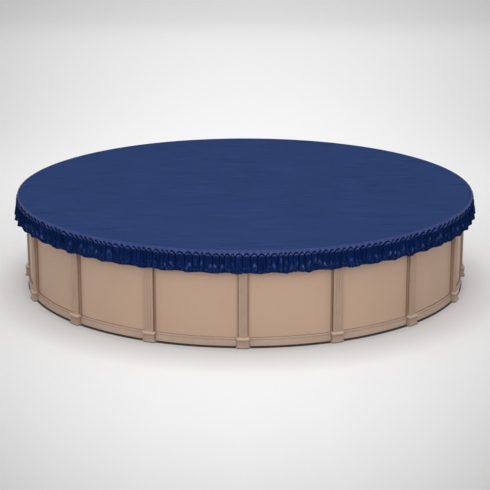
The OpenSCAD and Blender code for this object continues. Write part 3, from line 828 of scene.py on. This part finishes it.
def floor_mesh():
    """The floor and its sweep, with its white and a painted pool of light on it, its own glow and
    where it is a wall.
    """
    ys = np.concatenate([np.linspace(FLOOR_FRONT, -45, 18), np.linspace(-40, FLOOR_BACK, 75)])
    turns = np.linspace(0.1, math.pi / 2, 12)
    rows = [(y, 0) for y in ys]
    rows += [(FLOOR_BACK + SWEEP_R * math.sin(a), SWEEP_R - SWEEP_R * math.cos(a)) for a in turns]
    rows += [(FLOOR_BACK + SWEEP_R, 60)]
    xs = np.linspace(FLOOR_SIDE, -FLOOR_SIDE, 141)
    points = np.array([[(x, y, z) for x in xs] for y, z in rows])
    x, y = points[..., 0], points[..., 1]
    near, far = np.clip(-1 - y, 0, 8), np.clip(y - 8, 0, 24)
    beside = np.clip(np.abs(x) / (0.152 * np.maximum(y + 24.2, 8)), 0, 1.3)
    edge = (17 + 7 * smooth(np.abs(y - 2), 3, 9)) * smooth(y, -14, -8)
    # Painted pool of light: the floor's white falls off in front, far behind and to the sides.
    level = (248 - 0.0228 * near ** 3.6 - 0.05 * far ** 2 - edge * beside ** 2) / 255
    unlit = smooth(np.abs(x), 8, 19) * smooth(y, -8, -14)
    glow = np.maximum(np.interp(y, GLOW_AT, GLOW), 0.6 * unlit)
    marks = {"level": linear_light(level), "glow": glow, "wall": smooth(points[..., 2], 0, 3)}
    return grid_mesh("studio_floor", points, points[..., :2], marks=marks)


def floor_look():
    """Pale floor, with painted shadow near the pool. Seen directly it has some light of its own,
    and the rest shows the object's shadow."""
    look = Look("studio_floor", 0.95, specular=0.0)
    # Painted shadow on the floor: a dark line at the rails' foot, a soft one that reaches further
    # in front, and one just round the pool.
    painted_floor_shadow = look.map(look.from_axis(0.032)[1], WALL_R + RAIL_OUT, WALL_R + RAIL_OUT + 0.01, 0.12)
    painted_soft_shadow = look.map(look.from_axis(0.4)[1], WALL_R - 0.35, WALL_R + 0.62, 0.79)
    painted_near_shadow = look.map(look.from_axis(0.1)[1], WALL_R - 0.02, WALL_R + 0.13, 0.86)
    painted_floor_shadow = look.math("MULTIPLY", painted_floor_shadow, look.math("MULTIPLY", painted_soft_shadow, painted_near_shadow))
    level = look.math("MULTIPLY", look.mark("level"), painted_floor_shadow)
    path = look.node("LightPath")
    seen = look.math("MAXIMUM", path.outputs["Is Camera Ray"], path.outputs["Is Glossy Ray"])
    seen = look.math("MAXIMUM", seen, path.outputs["Is Transmission Ray"])
    bounced = look.mix(look.math("MULTIPLY", level, FLOOR_BOUNCE), BLACK, (1, 1, 1, 1))
    shown = look.mix(look.math("MULTIPLY", level, FLOOR_SHADE), BLACK, FLOOR_WHITE)
    look.colour(look.mix(seen, bounced, shown))
    look.join(look.mix(level, BLACK, FLOOR_WHITE), look.shader.inputs["Emission Color"])
    lit = look.math("MAXIMUM", seen, look.mark("wall"))
    glow = look.math("MULTIPLY", lit, look.mark("glow"))
    look.join(glow, look.shader.inputs["Emission Strength"])
    return look.material


def plain_floor():
    """A pale studio floor with a painted pool of light, brightest round the object, that sweeps up
    far behind it.
    """
    floor = floor_mesh()
    floor.data.materials.append(floor_look())


LIGHT_AIM = (0, 0, 0.8)


def soft_light(name, place, width, height, power):
    """A large softbox at a place, turned to the middle of the pool."""
    lamp = bpy.data.lights.new(name, "AREA")
    lamp.shape = "RECTANGLE"
    lamp.size = width
    lamp.size_y = height
    lamp.energy = power
    obj = bpy.data.objects.new(name, lamp)
    obj.location = place
    obj.rotation_euler = look_along(np.array(LIGHT_AIM) - np.array(place))
    bpy.context.scene.collection.objects.link(obj)


def look_along(direction):
    """Rotation of a lamp that shines along a direction, with its top up."""
    x, y, z = direction
    return (math.atan2(math.hypot(x, y), -z), 0, math.atan2(y, x) - math.pi / 2)


def studio_world():
    """White walls all round, with a dimmer ceiling."""
    world = bpy.data.worlds.new("studio")
    world.use_nodes = True
    tree = world.node_tree
    background = tree.nodes["Background"]
    split = tree.nodes.new("ShaderNodeSeparateXYZ")
    ramp = tree.nodes.new("ShaderNodeMapRange")
    for socket, number in {"From Max": 0.75, "To Min": 0.95, "To Max": 0.3}.items():
        ramp.inputs[socket].default_value = number
    tree.links.new(tree.nodes.new("ShaderNodeTexCoord").outputs["Generated"], split.inputs[0])
    tree.links.new(split.outputs["Z"], ramp.inputs["Value"])
    tree.links.new(ramp.outputs["Result"], background.inputs["Strength"])
    background.inputs["Color"].default_value = (1, 1, 1, 1)
    bpy.context.scene.world = world


CAMERA_REACH, CAMERA_HEIGHT = 23.25, 7.24
CAMERA_TURN, CAMERA_DOWN = math.radians(0.45), math.radians(16.25)


def camera():
    """Long lens, a little above the rim, with the front upright just left of the middle."""
    data = bpy.data.cameras.new("camera")
    data.sensor_width = 36
    data.lens = 118.6
    data.clip_end = 400
    obj = bpy.data.objects.new("camera", data)
    obj.location = (CAMERA_REACH * math.sin(CAMERA_TURN), -CAMERA_REACH * math.cos(CAMERA_TURN),
                    CAMERA_HEIGHT)
    obj.rotation_euler = (math.pi / 2 - CAMERA_DOWN, 0, CAMERA_TURN)
    bpy.context.scene.collection.objects.link(obj)
    bpy.context.scene.camera = obj


plain_floor()
studio_world()
soft_light("key", (-0.5, -21, 7), 26, 8, 2100)
soft_light("left", (-21, -6, 6), 8, 6, 450)
soft_light("right", (21, -6, 6), 8, 6, 450)
soft_light("high", (0, -17, 13), 14, 8, 550)
soft_light("overhead", (0, 2, 16), 10, 10, 900)
soft_light("back", (0, 24, 8), 24, 8, 280)
camera()
bpy.context.scene.view_settings.view_transform = "Standard"
